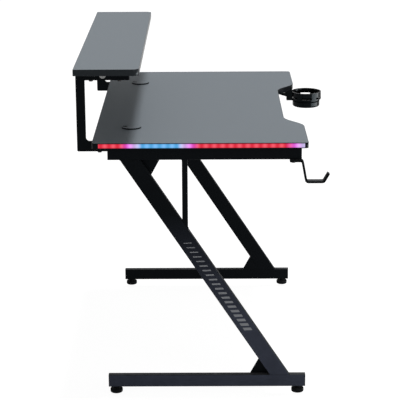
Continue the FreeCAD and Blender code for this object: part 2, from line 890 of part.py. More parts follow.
def shelf_board():
    holes = [insert_nut_hole(x, y, shelf_under) for x, y in shelf_bolt_places()]
    return shelf_slab(edge_band_thickness).cut(holes)


def shelf_edge_band():
    return shelf_slab(0).cut(shelf_slab(edge_band_thickness))


# The bracket's C shape, drawn in by the given wall and open at the front ends of both arms.
def bracket_shape(x_from, x_to, wall, front):
    x = min(x_from, x_to)
    back = shelf_back - wall
    post_front = shelf_back - bracket_post_depth + wall
    low = bracket_low + wall
    low_top = board_under - wall
    high = bracket_high + wall
    high_top = shelf_under - wall
    outline = [(front, low), (back, low), (back, high_top), (front, high_top),
               (front, high), (post_front, high), (post_front, low_top), (front, low_top)]
    corners = [Vec(x, y, z) for y, z in outline]
    outer = max(bracket_outer_radius - wall, 0)
    radii = [0, outer, outer, 0, 0, bracket_upper_radius + wall, bracket_lower_radius + wall, 0]
    return plate(corners, radii, Vec(1, 0, 0), abs(x_to - x_from))


def shelf_bracket(side):
    tube_front = bracket_front + end_cap_thickness
    bracket = bracket_shape(side * bracket_inner, side * bracket_outer, 0, tube_front)
    hollow = bracket_shape(side * (bracket_inner + bracket_wall), side * (bracket_outer - bracket_wall),
                           bracket_wall, bracket_front)
    holes = []
    for x, y in bracket_bolt_places():
        holes.append(bolt_hole(Vec(x, y, bracket_low), Vec(x, y, board_under)))
    for x, y in shelf_bolt_places():
        holes.append(bolt_hole(Vec(x, y, bracket_high), Vec(x, y, shelf_under)))
    for bolt_side, seat in side_bolt_seats():
        holes.append(rivet_nut_hole(seat, Vec(-bolt_side, 0, 0)))
    return bracket.cut([hollow] + holes)


# A bolt with a broad flange in the outer side of each upper arm.
def bracket_side_bolts():
    bolts = []
    for side, seat in side_bolt_seats():
        inward = Vec(-side, 0, 0)
        flange = rod(side_bolt_flange_radius, seat - inward * side_bolt_flange_thickness, seat)
        shank = bolt(seat - inward * side_bolt_flange_thickness, inward,
                     side_bolt_flange_thickness + rivet_nut_length)
        bolts.append(shank.fuse(flange).removeSplitter())
    return bolts


def bracket_end_caps():
    return [end_cap(side * bracket_middle, bracket_front, -1, under + bracket_arm_height / 2, bracket_width,
                    bracket_arm_height, bracket_wall, 0)
            for side in sides.values() for under in (bracket_low, bracket_high)]


# Headphone hook, a bent strip

def strip_outline(path, normal, thickness, bend_radius):
    left = []
    right = []
    left_radii = []
    right_radii = []
    for index, point in enumerate(path):
        arriving = (point - path[max(index - 1, 0)]) if index > 0 else (path[1] - point)
        leaving = (path[index + 1] - point) if index < len(path) - 1 else arriving
        turn_in = normal.cross(arriving).normalize()
        turn_out = normal.cross(leaving).normalize()
        offset = (turn_in + turn_out) * (thickness / 2 / (1 + turn_in.dot(turn_out)))
        left.append(point + offset)
        right.append(point - offset)
        inner_end = index in (0, len(path) - 1)
        bends_left = arriving.cross(leaving).dot(normal) > 0
        left_radii.append(0 if inner_end else bend_radius + (0 if bends_left else thickness))
        right_radii.append(0 if inner_end else bend_radius + (thickness if bends_left else 0))
    return right + left[::-1], right_radii + left_radii[::-1]


def headphone_hook():
    x = -leg_outer - hook_side_reach
    level = beam_under - hook_thickness / 2
    front = beam_front - hook_tab_reach
    seat = beam_under - hook_drop
    tip = front - hook_lean - hook_reach
    path = [Vec(x, front + hook_tab_length, level), Vec(x, front, level), Vec(x, front - hook_lean, seat),
            Vec(x, tip, seat), Vec(x, tip - hook_lip_lean, seat + hook_lip_rise)]
    corners, radii = strip_outline(path, Vec(1, 0, 0), hook_thickness, hook_bend_radius)
    strip = plate(corners, radii, Vec(1, 0, 0), hook_width)
    seat_point = hook_bolt_seat()
    return strip.cut(bolt_hole(seat_point - Vec(0, 0, hook_thickness), seat_point))


def hook_bolt():
    seat = hook_bolt_seat() - Vec(0, 0, hook_thickness)
    return bolt(seat, Vec(0, 0, 1), hook_thickness + rivet_nut_length)


# Cup holder, one moulding with a ring of windows

def cup_windows():
    top = cup_top - cup_window_drop
    centre = Vec(cup_x, cup_y, top - cup_window_height)
    belt = sleeve(cup_ring_radius, cup_ring_radius - cup_wall, centre, centre + Vec(0, 0, cup_window_height))
    half = cup_post_width / 2
    posts = []
    for number in range(cup_window_count):
        post = box(cup_x, cup_x + cup_ring_radius, cup_y - half, cup_y + half, centre.z, top)
        post.rotate(centre, Vec(0, 0, 1), 360 / cup_window_count * (number + 0.5))
        posts.append(post)
    return belt.cut(posts)


# A straight arm under the board: flat tab, block behind the bowl, and a rib that thins out to the back.
def cup_arm():
    half = cup_tab_width / 2
    tab = box(cup_x - half, cup_x + half, cup_tab_front, cup_tab_back, cup_top, board_under)
    half = cup_neck_width / 2
    neck = box(cup_x - half, cup_x + half, cup_y, cup_neck_back, cup_top - cup_neck_height, cup_top)
    x = cup_x - cup_rib_width / 2
    corners = [Vec(x, cup_neck_back, cup_top), Vec(x, cup_neck_back, cup_top - cup_rib_height),
               Vec(x, cup_tab_back, cup_top)]
    rib = plate(corners, [0, 0, 0], Vec(1, 0, 0), cup_rib_width)
    return tab.fuse([neck, rib])


def cup_holder():
    axis = Vec(cup_x, cup_y, 0)
    step = Vec(0, 0, cup_step)
    top = Vec(0, 0, cup_top)
    foot = turned_cap(axis + Vec(0, 0, cup_under), cup_foot_radius, cup_foot_height, cup_foot_rounding)
    ring = rod(cup_ring_radius, axis + step, axis + top)
    body = foot.fuse([ring, cup_arm()]).removeSplitter()
    floor = Vec(0, 0, cup_under + cup_floor)
    lower_hollow = rod(cup_foot_radius - cup_wall, axis + floor, axis + top)
    upper_hollow = rod(cup_ring_radius - cup_wall, axis + step + Vec(0, 0, cup_floor), axis + top)
    holes = [rod(screw_radius + screw_fit, Vec(x, y, cup_top), Vec(x, y, board_under))
             for x, y in cup_screw_places()]
    return body.cut([lower_hollow, upper_hollow, cup_windows()] + holes)


def cup_screws():
    return [small_screw(Vec(x, y, cup_top), cup_drop + screw_bite) for x, y in cup_screw_places()]


def lid_screws():
    length = controller_lid_thickness + screw_bite
    return [small_screw(Vec(x, y, lid_under), length) for x, y in lid_screw_places()]


# Writing the pieces

def save(name, solids):
    shape = solids[0].copy() if len(solids) == 1 else Part.makeCompound(solids)
    shape.translate(Vec(0, frame_shift, 0))
    shape.exportStep("parts/" + name + ".step")


os.makedirs("parts", exist_ok=True)

save("desktop_board", [desktop_board()])
save("desktop_edge_band", [desktop_edge_band()])
save("shelf_board", [shelf_board()])
save("shelf_edge_band", [shelf_edge_band()])

for name, side in sides.items():
    save("leg_beam_" + name, [leg_beam(side)])
    save("leg_diagonal_" + name, [leg_diagonal(side)])
    save("leg_foot_bar_" + name, [leg_foot_bar(side)])
    save("leg_strut_" + name, [leg_strut(side)])
    save("shelf_bracket_" + name, [shelf_bracket(side)])
    save("grommet_ring_" + name, [grommet_ring(side)])
    save("grommet_cap_" + name, [grommet_cap(side)])
    save("light_channel_" + name, [light_channel(side)])
    save("light_strip_" + name, [light_strip(side)])
    save("light_chips_" + name, light_chips(side))
    save("light_diffuser_" + name, [light_diffuser(side)])
    for end in ("front", "back"):
        place = leveller_place(side, end)
        save("leveller_pad_" + end + "_" + name, [leveller_pad(place)])
        save("leveller_stud_" + end + "_" + name, [leveller_stud(place)])

save("leg_gussets", leg_gussets(-1) + leg_gussets(1))
save("leg_end_caps", leg_end_caps())
save("leveller_nuts", leveller_nuts())

save("crossbeam_front", [crossbeam(crossbeam_front)])
save("crossbeam_back", [crossbeam(crossbeam_back)])
save("crossbeam_plates", crossbeam_plates())
save("crossbeam_bolts", crossbeam_bolts())
save("rivet_nuts", rivet_nuts())

save("desktop_bolts", desktop_bolts())
save("bracket_bolts", bracket_bolts())
save("shelf_bolts", shelf_bolts())
save("insert_nuts", insert_nuts())
save("bracket_end_caps", bracket_end_caps())
save("bracket_side_bolts", bracket_side_bolts())

save("light_feed_lead", [feed_lead()])
save("light_link_lead", [link_lead()])
save("controller_lid", [controller_lid()])
save("controller_case", [controller_case()])
save("controller_circuit", [controller_circuit()])
save("controller_button", [controller_button()])
save("controller_screws", lid_screws())
save("power_socket", [power_socket()])

save("headphone_hook", [headphone_hook()])
save("hook_bolt", [hook_bolt()])
save("cup_holder", [cup_holder()])
save("cup_holder_screws", cup_screws())
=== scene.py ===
import math
import bpy
import bmesh
from mathutils import Matrix, Vector


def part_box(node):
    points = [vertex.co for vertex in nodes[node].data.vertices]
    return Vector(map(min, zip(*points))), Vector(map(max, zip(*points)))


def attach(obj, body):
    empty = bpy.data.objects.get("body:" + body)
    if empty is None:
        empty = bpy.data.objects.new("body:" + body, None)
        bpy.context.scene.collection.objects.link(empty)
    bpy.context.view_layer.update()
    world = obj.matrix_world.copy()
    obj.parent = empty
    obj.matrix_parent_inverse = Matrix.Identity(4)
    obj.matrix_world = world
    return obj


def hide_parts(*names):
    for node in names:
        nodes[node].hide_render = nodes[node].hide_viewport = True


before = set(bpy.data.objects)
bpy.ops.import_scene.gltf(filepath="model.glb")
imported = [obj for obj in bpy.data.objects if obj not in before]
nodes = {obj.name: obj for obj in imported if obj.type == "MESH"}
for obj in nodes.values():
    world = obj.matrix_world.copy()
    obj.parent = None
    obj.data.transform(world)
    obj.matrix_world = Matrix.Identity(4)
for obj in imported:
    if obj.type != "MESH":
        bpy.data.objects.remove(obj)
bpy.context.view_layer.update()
scene = bpy.context.scene
print("frame loaded with", len(nodes), "nodes")


# one socket of a finish; sums on values add Math nodes
class Wire:
    def __init__(self, finish, socket):
        self.finish = finish
        self.socket = socket

    def calc(self, operation, *values):
        made = self.finish.add("ShaderNodeMath", {"operation": operation}, dict(enumerate(values)))
        return made["Value"]

    def __add__(self, other):
        return self.calc("ADD", self, other)

    def __radd__(self, other):
        return self.calc("ADD", other, self)

    def __sub__(self, other):
        return self.calc("SUBTRACT", self, other)

    def __rsub__(self, other):
        return self.calc("SUBTRACT", other, self)

    def __mul__(self, other):
        return self.calc("MULTIPLY", self, other)

    def __rmul__(self, other):
        return self.calc("MULTIPLY", other, self)

    def __truediv__(self, other):
        return self.calc("DIVIDE", self, other)

    def __rtruediv__(self, other):
        return self.calc("DIVIDE", other, self)

    def __pow__(self, other):
        return self.calc("POWER", self, other)

    def above(self, level):
        return self.calc("GREATER_THAN", self, level)

    def below(self, level):
        return self.calc("LESS_THAN", self, level)

    def part(self):
        return self.calc("FRACT", self)

    def size(self):
        return self.calc("ABSOLUTE", self)

    def most(self, other):
        return self.calc("MAXIMUM", self, other)

    # swing of a cloudy value to both sides of its middle
    def sway(self, amount):
        return (self - 0.5) * amount


def rgba(colour):
    return (*colour, 1.0)


# a node material, and the one way its nodes are made
class Finish:
    labels = {"baseColor": "Base Color", "roughness": "Roughness", "metallic": "Metallic", "normal": "Normal",
              "glow": "Emission Color", "glowStrength": "Emission Strength",
              "specular": "Specular IOR Level", "specularTint": "Specular Tint"}

    def __init__(self, owner):
        owner.use_nodes = True
        self.material = owner
        self.tree = owner.node_tree
        self.shader = self.tree.nodes.get("Principled BSDF")
        if self.shader:
            self.place = self.add("ShaderNodeTexCoord")["Object"]
            axes = self.add("ShaderNodeSeparateXYZ", None, {"Vector": self.place})
            self.x, self.y, self.z = axes["X"], axes["Y"], axes["Z"]
            facing = self.add("ShaderNodeNewGeometry")["Normal"]
            self.up = self.add("ShaderNodeSeparateXYZ", None, {"Vector": facing})["Z"]

    def add(self, kind, settings=None, values=None):
        made = self.tree.nodes.new(kind)
        for name, setting in (settings or {}).items():
            if name == "stops":
                ramp = made.color_ramp
                while len(ramp.elements) < len(setting):
                    ramp.elements.new(1.0)
                for element, (at, colour) in zip(ramp.elements, setting):
                    element.position = at
                    element.color = rgba(colour)
            else:
                setattr(made, name, setting)
        for name, value in (values or {}).items():
            if isinstance(name, int):
                socket = made.inputs[name]
            else:
                socket = [s for s in made.inputs if s.name == name and s.enabled][0]
            self.fill(socket, value)
        return {s.name: Wire(self, s) for s in made.outputs if s.enabled}

    def fill(self, socket, value):
        if isinstance(value, Wire):
            self.tree.links.new(value.socket, socket)
        else:
            socket.default_value = value

    # what the whole tree shows
    def surface(self, shader):
        out = [node for node in self.tree.nodes if node.type.startswith("OUTPUT")][0]
        self.tree.links.new(shader.socket, out.inputs["Surface"])

    # soft cloudy value round 0.5; size is in metres
    def cloud(self, size, detail=3.0, stretch=(1, 1, 1)):
        factors = {0: self.place, 1: stretch}
        spot = self.add("ShaderNodeVectorMath", {"operation": "MULTIPLY"}, factors)["Vector"]
        return self.add("ShaderNodeTexNoise", {"noise_dimensions": "3D"},
                        {"Vector": spot, "Scale": 1 / size, "Detail": detail, "Roughness": 0.5})["Fac"]

    # distance to the middle of the nearest cell
    def cells(self, size):
        return self.add("ShaderNodeTexVoronoi", {"feature": "F1"},
                        {"Vector": self.place, "Scale": 1 / size})["Distance"]

    # spreads a value from one span to 0..1
    def span(self, value, low, high):
        ends = {"From Min": low, "From Max": high, "To Min": 0.0, "To Max": 1.0}
        return self.add("ShaderNodeMapRange", {"clamp": True}, {"Value": value, **ends})["Result"]

    def blend(self, share, first, second):
        first, second = (rgba(c) if isinstance(c, tuple) else c for c in (first, second))
        return self.add("ShaderNodeMix", {"data_type": "RGBA", "clamp_factor": True},
                        {"Factor": share, "A": first, "B": second})["Result"]

    def bump(self, height, depth):
        return self.add("ShaderNodeBump", None,
                        {"Height": height, "Distance": depth, "Strength": 1.0})["Normal"]

    def feed(self, **inputs):
        for name, value in inputs.items():
            value = rgba(value) if isinstance(value, tuple) else value
            self.fill(self.shader.inputs[self.labels[name]], value)
        return self.material


def newFinish(name):
    return Finish(bpy.data.materials.new(name))


def paint(material, *names):
    for name in names:
        mesh = nodes[name].data
        mesh.materials.clear()
        mesh.materials.append(material)


def bothSides(*names):
    return [name + side for name in names for side in ("left", "right")]


corners = ("front_left", "front_right", "back_left", "back_right")
coolTint = (0.78, 0.92, 1.0)  # the blacks shine a little blue


# boards: satin grey laminate, fine pearl grain, dark backing underneath
laminate = {"top": (0.222, 0.250, 0.275), "shade": (0.196, 0.221, 0.244), "back": (0.018, 0.019, 0.021),
            "grainSize": 0.0011, "flakeSize": 0.00176, "cloudSize": 0.16, "flakeSpan": (0.1, 0.75),
            "grainShare": 0.45, "cloudShare": 0.55, "facesDown": -0.5,
            "roughness": 0.58, "grainRough": 0.16, "cloudRough": 0.08,
            "grainHeight": 0.6, "flakeHeight": 0.4, "grainDepth": 0.00010, "gloss": 0.07}


def laminateFinish(name, use):
    f = newFinish(name)
    grain = f.cloud(use["grainSize"], detail=2.0)
    cloud = f.cloud(use["cloudSize"])
    flake = f.span(f.cells(use["flakeSize"]), *use["flakeSpan"])
    tone = f.blend(grain * use["grainShare"] + cloud * use["cloudShare"], use["shade"], use["top"])
    colour = f.blend(f.up.below(use["facesDown"]), tone, use["back"])
    rough = use["roughness"] + grain.sway(use["grainRough"]) + cloud.sway(use["cloudRough"])
    height = grain * use["grainHeight"] + flake * use["flakeHeight"]
    return f.feed(baseColor=colour, roughness=rough, normal=f.bump(height, use["grainDepth"]),
                  specular=use["gloss"])


paint(laminateFinish("boardLaminate", laminate), "desktop_board", "shelf_board")


# edge bands: black strip pressed on the boards, with faint lines along its run; on the one strip the shelf's
# copy is painted lighter and the desk's copy darker, painted light and painted shade
bandWear = {"lineSize": 0.0009, "lineStretch": (0.03, 0.03, 1.0), "lineShare": 0.3, "lineRough": 0.2,
            "lineDepth": 0.00004, "scuffSize": 0.012, "scuffSpan": (0.62, 0.80), "scuffShare": 0.5,
            "roughness": 0.30}
bands = {"deskBandPaintedShade": {"colour": (0.0036, 0.0046, 0.0060), "scuffed": (0.010, 0.012, 0.015), "gloss": 0.045,
                      "nodes": ["desktop_edge_band"]},
         "shelfBandPaintedLight": {"colour": (0.0100, 0.0112, 0.0130), "scuffed": (0.020, 0.022, 0.025), "gloss": 0.16,
                       "nodes": ["shelf_edge_band"]}}


def bandFinish(name, use):
    f = newFinish(name)
    lines = f.cloud(use["lineSize"], detail=2.0, stretch=use["lineStretch"])
    scuff = f.span(f.cloud(use["scuffSize"], detail=4.0), *use["scuffSpan"])
    colour = f.blend(scuff * use["scuffShare"] + lines.sway(use["lineShare"]), use["colour"], use["scuffed"])
    return f.feed(baseColor=colour, roughness=use["roughness"] + lines.sway(use["lineRough"]),
                  normal=f.bump(lines, use["lineDepth"]), specular=use["gloss"], specularTint=coolTint)


for name, use in bands.items():
    paint(bandFinish(name, {**bandWear, **use}), *use["nodes"])


# frame: black powder coat with a fine orange peel, dust and a painted sheen on faces that look up, painted
# floor light low on the outer faces of the legs
powder = {"colour": (0.0024, 0.0029, 0.0036), "bloom": (0.0050, 0.0057, 0.0068),
          "peelSize": 0.0007, "peelShare": 0.5, "peelRough": 0.15, "peelDepth": 0.00004,
          "bloomSize": 0.07, "bloomShare": 0.7, "bloomRough": 0.1, "roughness": 0.56, "gloss": 0.043,
          "dustAndSheen": (0.070, 0.072, 0.076), "dustAndSheenFacing": (0.75, 0.98), "dustAndSheenEven": 0.55, "dustAndSheenPatchy": 0.45,
          "dustAndSheenSize": 0.02, "dustAndSheenSpan": (0.35, 0.70),
          "dull": (0.0615, 0.0690, 0.0970), "paintedFloorLightSpan": (0.54, 0.20), "paintedFloorLightShare": 0.75, "paintedFloorLightPatchy": 0.5}


def powderFinish(name, use, marks=None):
    f = newFinish(name)
    peel = f.cloud(use["peelSize"], detail=2.0)
    bloom = f.cloud(use["bloomSize"], detail=4.0)
    patches = f.span(f.cloud(use["dustAndSheenSize"], detail=5.0), *use["dustAndSheenSpan"])
    # dust and a painted sheen: faces that look up are painted paler
    dustAndSheen = f.span(f.up, *use["dustAndSheenFacing"]) * (use["dustAndSheenEven"] + use["dustAndSheenPatchy"] * patches)
    colour = f.blend(bloom * use["bloomShare"] + peel.sway(use["peelShare"]), use["colour"], use["bloom"])
    colour = f.blend(dustAndSheen, colour, use["dustAndSheen"])
    rough = use["roughness"] + peel.sway(use["peelRough"]) + bloom.sway(use["bloomRough"])
    if marks:
        # painted floor light: the outer faces of the legs are painted paler slate towards the floor, a
        # painted reflection of the bright floor
        low = f.span(f.z, *use["paintedFloorLightSpan"]) * f.x.size().above(marks["outer"])
        colour = f.blend(low * (use["paintedFloorLightShare"] + bloom.sway(use["paintedFloorLightPatchy"])), colour, use["dull"])
        ink = barMask(f, marks)
        colour = f.blend(ink * (marks["share"] + peel.sway(marks["worn"])), colour, marks["colour"])
        rough = rough - ink * marks["smooth"]
    return f.feed(baseColor=colour, roughness=rough, normal=f.bump(peel, use["peelDepth"]),
                  specular=use["gloss"], specularTint=coolTint)


# print on the outer face of each diagonal: one row of slanted bars that get thinner up the leg
bars = {"colour": (0.34, 0.35, 0.37), "pitch": 0.0165, "lean": 0.60, "halfWidth": 0.0100,
        "start": 10, "count": 20, "thick": 0.58, "thin": 0.12, "share": 0.80, "worn": 0.5, "smooth": 0.12,
        "foot": (-0.20375, 0.054), "head": (0.21825, 0.698), "outer": 0.4825}


def barMask(f, use):
    slope = math.atan2(use["head"][1] - use["foot"][1], use["head"][0] - use["foot"][0])
    fromY, fromZ = f.y - use["foot"][0], f.z - use["foot"][1]
    run = fromY * math.cos(slope) + fromZ * math.sin(slope)
    across = fromZ * math.cos(slope) - fromY * math.sin(slope)
    spot = (run + across * use["lean"]) / use["pitch"] - use["start"]
    step = spot.part()
    share = use["thick"] + (spot - step) * ((use["thin"] - use["thick"]) / use["count"])
    inside = across.size().below(use["halfWidth"]) * spot.above(0.0) * spot.below(use["count"])
    return inside * f.x.size().above(use["outer"]) * (share - step).above(0.0)


powderBlack = powderFinish("framePowder", powder)
paint(powderBlack, "leg_gussets", "crossbeam_front", "crossbeam_back", "crossbeam_plates", "headphone_hook",
      *bothSides("leg_beam_", "leg_strut_", "shelf_bracket_"))
paint(powderFinish("legPowder", powder, bars), *bothSides("leg_diagonal_", "leg_foot_bar_"))


# moulded plastics and rubbers: fine spark texture
mouldingWear = {"sparkShare": 0.5, "sparkRough": 0.14, "sparkDepth": 0.00003,
                "flowSize": 0.03, "flowShare": 0.5, "flowRough": 0.06, "gloss": 0.12,
                "sideFacing": (0.9, 0.6), "sideEven": 0.9, "sideSpark": 0.2, "beltRough": 0.75}
mouldings = {
    "capPlastic": {"colour": (0.0085, 0.0088, 0.0098), "light": (0.017, 0.018, 0.020),
                   "grain": 0.0006, "rough": 0.55, "nodes": ["leg_end_caps", "bracket_end_caps"]},
    "casePlastic": {"colour": (0.014, 0.0145, 0.016), "light": (0.026, 0.027, 0.029),
                    "grain": 0.0005, "rough": 0.6, "nodes": ["controller_lid", "controller_case"]},
    "buttonPlastic": {"colour": (0.075, 0.078, 0.083), "light": (0.11, 0.113, 0.118),
                      "grain": 0.0008, "rough": 0.22, "nodes": ["controller_button"]},
    "cupPlastic": {"colour": (0.0012, 0.0016, 0.0022), "light": (0.0024, 0.0030, 0.0038),
                   "grain": 0.0007, "rough": 0.16, "gloss": 0.054, "belt": (0.6945, 0.6990),
                   "nodes": ["cup_holder"]},
    "grommetPlastic": {"colour": (0.190, 0.214, 0.236), "light": (0.222, 0.250, 0.275),
                       "grain": 0.0006, "rough": 0.56, "gloss": 0.07, "side": (0.010, 0.011, 0.012),
                       "nodes": bothSides("grommet_ring_", "grommet_cap_")},
    "padRubber": {"colour": (0.0035, 0.0036, 0.0040), "light": (0.0090, 0.0090, 0.0095),
                  "grain": 0.0009, "rough": 0.72, "gloss": 0.05,
                  "nodes": ["leveller_pad_" + corner for corner in corners]},
    "leadRubber": {"colour": (0.012, 0.012, 0.013), "light": (0.022, 0.022, 0.022),
                   "grain": 0.0005, "rough": 0.6, "nodes": ["light_feed_lead", "light_link_lead"]},
}


def mouldingFinish(name, use):
    f = newFinish(name)
    spark = f.cloud(use["grain"])
    flow = f.cloud(use["flowSize"])
    colour = f.blend(spark * use["sparkShare"] + flow * use["flowShare"], use["colour"], use["light"])
    if "side" in use:  # painted shade: faces that turn away from up are painted dark under the pale top
        shadedSide = f.span(f.up, *use["sideFacing"])
        colour = f.blend(shadedSide * (use["sideEven"] + spark * use["sideSpark"]), colour, use["side"])
    rough = use["rough"] + spark.sway(use["sparkRough"]) + flow.sway(use["flowRough"])
    if "belt" in use:  # a matte belt round a glossy wall
        low, high = use["belt"]
        rough = rough + f.z.above(low) * f.z.below(high) * use["beltRough"]
    return f.feed(baseColor=colour, roughness=rough, normal=f.bump(spark, use["sparkDepth"]),
                  specular=use["gloss"], specularTint=coolTint)


for name, use in mouldings.items():
    paint(mouldingFinish(name, {**mouldingWear, **use}), *use["nodes"])


# metals: stained plate with fine drawn lines
metalWear = {"stainSize": 0.006, "stainShare": 0.7, "stainRough": 0.2,
             "lineSize": 0.0006, "lineStretch": (1.0, 0.08, 1.0), "lineShare": 0.4, "lineDepth": 0.00002}
metals = {
    "zincPlate": {"colour": (0.56, 0.57, 0.58), "dull": (0.40, 0.40, 0.39), "rough": 0.32, "metallic": 1.0,
                  "nodes": ["leveller_nuts", "rivet_nuts", "insert_nuts", "controller_screws", "power_socket",
                            "cup_holder_screws", *("leveller_stud_" + corner for corner in corners)]},
    "blackBolt": {"colour": (0.016, 0.016, 0.018), "dull": (0.036, 0.035, 0.034),
                  "rough": 0.42, "metallic": 0.35,
                  "nodes": ["crossbeam_bolts", "desktop_bolts", "bracket_bolts", "shelf_bolts", "hook_bolt"]},
    "dullZinc": {"colour": (0.26, 0.26, 0.26), "dull": (0.14, 0.14, 0.135), "rough": 0.45, "metallic": 0.9,
                 "nodes": ["bracket_side_bolts"]},
    "channelMetal": {"colour": (0.70, 0.71, 0.72), "dull": (0.52, 0.53, 0.54), "rough": 0.3, "metallic": 1.0,
                     "nodes": bothSides("light_channel_")},
}


def metalFinish(name, use):
    f = newFinish(name)
    stain = f.cloud(use["stainSize"], detail=4.0)
    lines = f.cloud(use["lineSize"], detail=2.0, stretch=use["lineStretch"])
    colour = f.blend(stain * use["stainShare"] + lines.sway(use["lineShare"]), use["colour"], use["dull"])
    rough = use["rough"] + stain.sway(use["stainRough"])
    return f.feed(baseColor=colour, metallic=use["metallic"], roughness=rough,
                  normal=f.bump(lines, use["lineDepth"]))


for name, use in metals.items():
    paint(metalFinish(name, {**metalWear, **use}), *use["nodes"])


# light strips: chips in a row, and the milky cover that glows in runs of colour
chipRow = {"first": -0.24920, "pitch": 0.02325, "level": 0.742}
cover = {"body": (0.02, 0.018, 0.02), "gloss": 0.1, "roughness": 0.32, "hazeSize": 0.004, "hazeRough": 0.1,
         "strength": 1.0, "spot": (1.0, 0.80, 0.90), "spotSpan": (0.08, 0.42), "spotShare": 0.095,
         "unlit": (0.0, 0.0, 0.0), "gapShare": 0.22,
         "rimSpan": (0.002, 0.006), "rimFall": 0.35, "rimShare": 0.5,
         "colours": {"red": (0.92, 0.014, 0.050), "rose": (0.86, 0.018, 0.30), "pink": (0.98, 0.17, 0.97),
                     "violet": (0.70, 0.60, 1.0), "blue": (0.10, 0.48, 0.96)},
         "runs": [(-0.26725, "violet"), (-0.262, "violet"), (-0.240, "pink"), (-0.226, "rose"),
                  (-0.212, "red"), (0.025, "red"), (0.035, "rose"), (0.049, "pink"), (0.071, "violet"),
                  (0.084, "blue"), (0.184, "blue"), (0.199, "violet"), (0.221, "pink"), (0.233, "rose"),
                  (0.245, "red"), (0.30425, "red")]}


# place along the row in pitches, 0 at each chip; a shift of half a pitch puts the 0 midway between them
def chipStep(f, shift=0.0):
    start = chipRow["first"] - chipRow["pitch"] / 2 + shift
    return ((f.y - start) / chipRow["pitch"]).part() - 0.5


def coverFinish(name, use):
    f = newFinish(name)
    start, end = use["runs"][0][0], use["runs"][-1][0]
    stops = [((at - start) / (end - start), use["colours"][colour]) for at, colour in use["runs"]]
    run = f.add("ShaderNodeValToRGB", {"stops": stops}, {"Fac": f.span(f.y, start, end)})["Color"]
    near = 1 - f.span(chipStep(f).size(), *use["spotSpan"])
    level = 1 - f.span((f.z - chipRow["level"]).size(), *use["rimSpan"]) * use["rimFall"]
    lit = f.blend(near * level * use["spotShare"], run, use["spot"])
    glow = f.blend((1 - near) * use["gapShare"] + (1 - level) * use["rimShare"], lit, use["unlit"])
    return f.feed(baseColor=use["body"], glow=glow, glowStrength=use["strength"], specular=use["gloss"],
                  roughness=use["roughness"] + f.cloud(use["hazeSize"]) * use["hazeRough"])


strip = {"white": (0.74, 0.74, 0.71), "grey": (0.66, 0.66, 0.63), "cloudSize": 0.003, "roughness": 0.5,
         "pad": (0.62, 0.38, 0.16), "padHalf": 0.09, "padFrom": 0.0012, "padTo": 0.0031,
         "padSmooth": 0.2, "padMetal": 0.9}


# copper pads midway between the chips
def stripFinish(name, use):
    f = newFinish(name)
    rise = (f.z - chipRow["level"]).size()
    between = chipStep(f, chipRow["pitch"] / 2).size().below(use["padHalf"])
    pads = between * rise.above(use["padFrom"]) * rise.below(use["padTo"])
    ground = f.blend(f.cloud(use["cloudSize"]), use["white"], use["grey"])
    colour = f.blend(pads, ground, use["pad"])
    return f.feed(baseColor=colour, roughness=use["roughness"] - pads * use["padSmooth"],
                  metallic=pads * use["padMetal"])


chips = {"chip": (0.80, 0.76, 0.55), "die": (0.85, 0.62, 0.15), "dieSpan": (0.0012, 0.0018), "roughness": 0.3,
         "dieSmooth": 0.12, "hazeSize": 0.001, "hazeRough": 0.1}


def chipFinish(name, use):
    f = newFinish(name)
    away = ((chipStep(f) * chipRow["pitch"]) ** 2.0 + (f.z - chipRow["level"]) ** 2.0) ** 0.5
    die = 1 - f.span(away, *use["dieSpan"])
    rough = use["roughness"] - die * use["dieSmooth"] + f.cloud(use["hazeSize"]) * use["hazeRough"]
    return f.feed(baseColor=f.blend(die, use["chip"], use["die"]), roughness=rough)


paint(coverFinish("lightCover", cover), *bothSides("light_diffuser_"))
paint(stripFinish("stripBoard", strip), *bothSides("light_strip_"))
paint(chipFinish("lightChip", chips), *bothSides("light_chips_"))


# controller's circuit board: green mask with traces and gold pads
circuit = {"mask": (0.010, 0.10, 0.045), "trace": (0.018, 0.19, 0.075), "gold": (0.62, 0.45, 0.16),
           "acrossPitch": 0.0022, "acrossHalf": 0.16, "alongPitch": 0.0035, "alongHalf": 0.10,
           "patchSize": 0.006, "patchFrom": 0.52, "padSize": 0.0045, "padReach": 0.16,
           "roughness": 0.38, "padSmooth": 0.1, "padMetal": 0.9}


def circuitFinish(name, use):
    f = newFinish(name)
    across = ((f.x / use["acrossPitch"]).part() - 0.5).size().below(use["acrossHalf"])
    along = ((f.y / use["alongPitch"]).part() - 0.5).size().below(use["alongHalf"])
    patch = f.cloud(use["patchSize"], detail=1.0).above(use["patchFrom"])
    traces = across * patch + along * (1 - patch)
    pads = f.cells(use["padSize"]).below(use["padReach"])
    colour = f.blend(pads, f.blend(traces, use["mask"], use["trace"]), use["gold"])
    return f.feed(baseColor=colour, roughness=use["roughness"] - pads * use["padSmooth"],
                  metallic=pads * use["padMetal"])


paint(circuitFinish("circuitMask", circuit), "controller_circuit")
print("finishes made")


# small worn edges on the sharp sheet and moulded pieces
wear = {"join": 0.00001, "segments": 2, "sharpFrom": 50,
        "widths": {"headphone_hook": 0.0008, "leg_gussets": 0.0005, "crossbeam_plates": 0.0004,
                   "controller_lid": 0.0003, "controller_case": 0.0006, "desktop_edge_band": 0.0004,
                   "shelf_edge_band": 0.0004, "bracket_end_caps": 0.0004, "leg_end_caps": 0.0004,
                   "shelf_bracket_left": 0.0006, "shelf_bracket_right": 0.0006,
                   **{"leveller_pad_" + corner: 0.0014 for corner in corners}}}

for name, width in wear["widths"].items():
    weld = nodes[name].modifiers.new("join", "WELD")
    weld.merge_threshold = wear["join"]
    bevel = nodes[name].modifiers.new("edge", "BEVEL")
    bevel.width = width
    bevel.segments = wear["segments"]
    bevel.limit_method = "ANGLE"
    bevel.angle_limit = math.radians(wear["sharpFrom"])
    bevel.harden_normals = True


